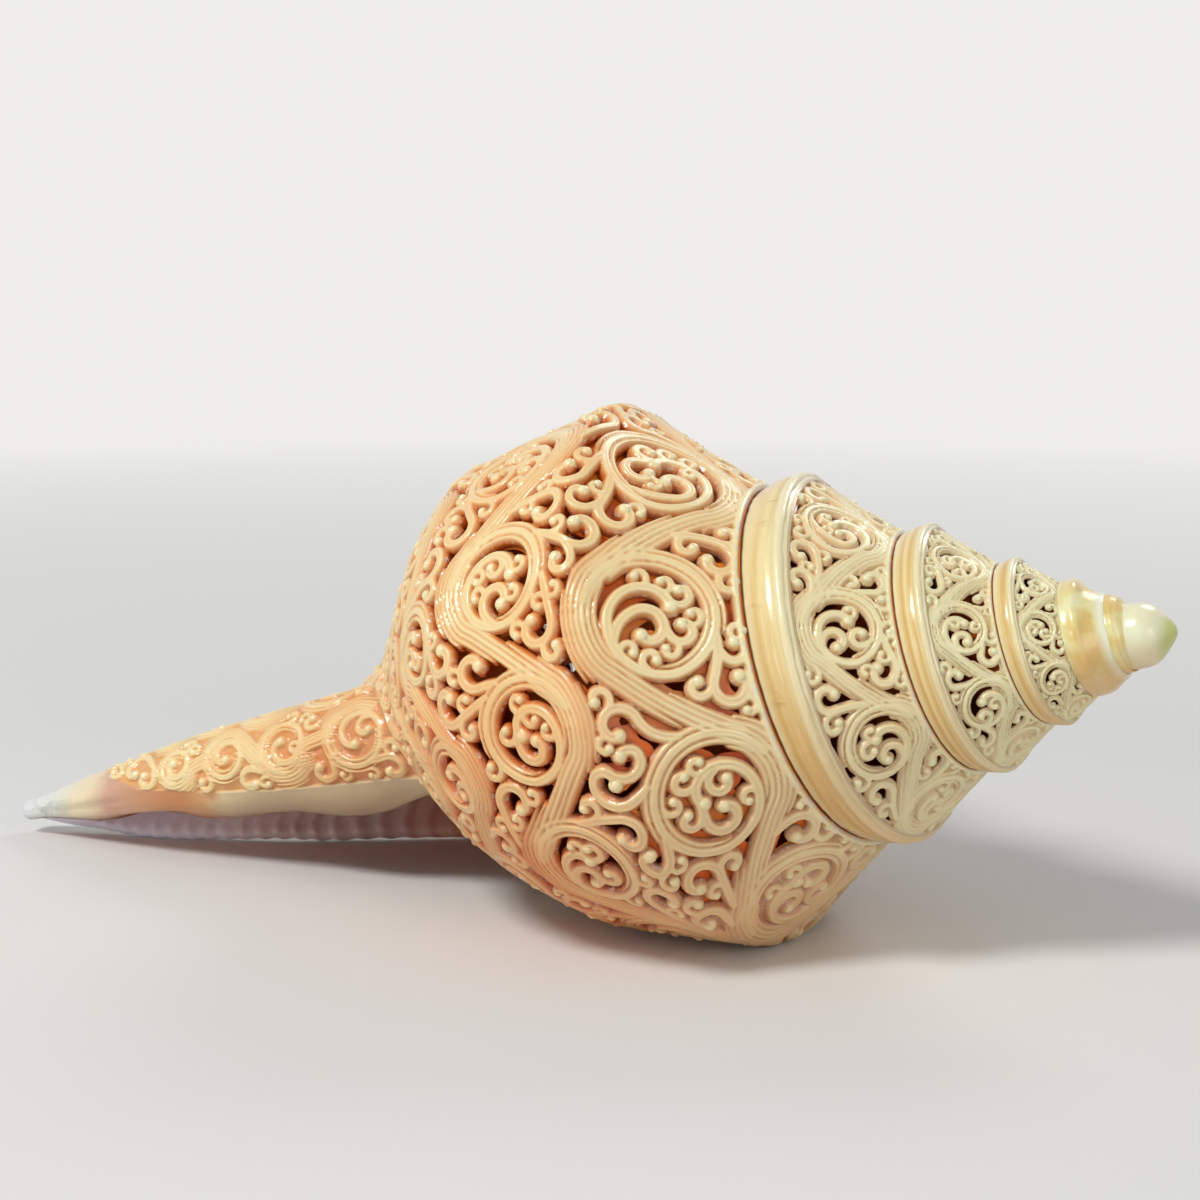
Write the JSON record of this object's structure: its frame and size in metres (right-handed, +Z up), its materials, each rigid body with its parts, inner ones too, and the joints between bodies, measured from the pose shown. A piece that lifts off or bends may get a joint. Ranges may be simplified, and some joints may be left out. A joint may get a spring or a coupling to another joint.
{
  "type": "carved trumpet shell",
  "caption": "Large spindle-shaped trumpet shell lying on its opening, its wall pierced with scroll medallions, with a stepped spire and a long open canal.",
  "frame": {"origin": "middle of the bounding box's bottom face, on the table that the shell lies on", "axes": "+X towards the apex along the shell's axis as seen from above, +Z up, +Y to the side that the outer lip opens on"},
  "size_m": [0.414, 0.192, 0.1631],
  "materials": {
    "shell": "polished shell, cream to apricot, orange in the recesses"
  },
  "bodies": {
    "root": {"shell": "shell"}
  },
  "joints": []
}
